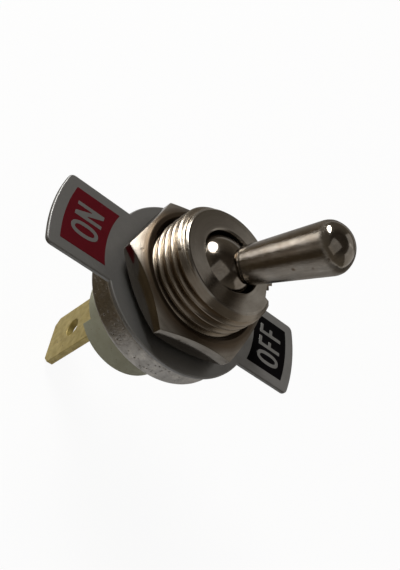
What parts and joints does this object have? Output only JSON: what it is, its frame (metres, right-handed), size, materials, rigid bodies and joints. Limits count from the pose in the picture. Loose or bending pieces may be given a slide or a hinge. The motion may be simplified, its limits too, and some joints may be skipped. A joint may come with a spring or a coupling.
{
  "type": "engine stop switch",
  "caption": "Panel-mounted toggle stop switch with a bat lever on a threaded bushing, a two-arm on and off legend plate, a hex nut and one blade terminal.",
  "frame": {"origin": "on the bushing's axis, at the front face of the cover, where the legend plate or the panel seats", "axes": "+Z along the bushing's axis towards the lever, +Y towards the ON arm of the legend plate, +X the way its words read"},
  "size_m": [0.0192, 0.0326, 0.0384],
  "materials": {
    "nickel": "nickel-plated brass, warm and bright",
    "zinc": "zinc-plated pressed steel, speckled",
    "phenolic": "matte moulded grey-green",
    "plate": "satin, with printed red and black fields",
    "steel": "bright drawn",
    "brass": "stamped, slightly dull",
    "silver": "plain silver contact"
  },
  "bodies": {
    "housing": {"bushing": "nickel", "cover_cup": "zinc", "base": "phenolic", "legend_plate": "plate", "hex_nut": "nickel", "earth_bracket": "brass", "terminal_blade": "brass", "fixed_contact": "silver"},
    "lever": {"toggle_lever": "nickel", "pivot_pin": "steel", "lever_spring": "steel"},
    "plunger": {"plunger": "brass"},
    "rocker": {"contact_rocker": "brass", "moving_contact": "silver"}
  },
  "joints": [
    {"name": "lever_tilt", "type": "hinge", "parent": "housing", "child": "lever", "pos_m": [0, 0, 0.0045], "axis": [-1, 0, 0], "range_deg": [0, 43]},
    {"name": "plunger_slide", "type": "slide", "parent": "lever", "child": "plunger", "axis": [0, -0.3665, 0.9304], "range_m": [0, 0.0005], "stiffness_N_per_m": 100, "springref_m": -0.001, "deforming": ["lever_spring"]},
    {"name": "rocker_tilt", "type": "hinge", "parent": "housing", "child": "rocker", "pos_m": [0, 0, -0.0048], "axis": [1, 0, 0], "range_deg": [0, 20]}
  ],
  "couplings": [
    {"joint": "rocker_tilt", "follows": "lever_tilt", "ratio": 0.46511}
  ]
}
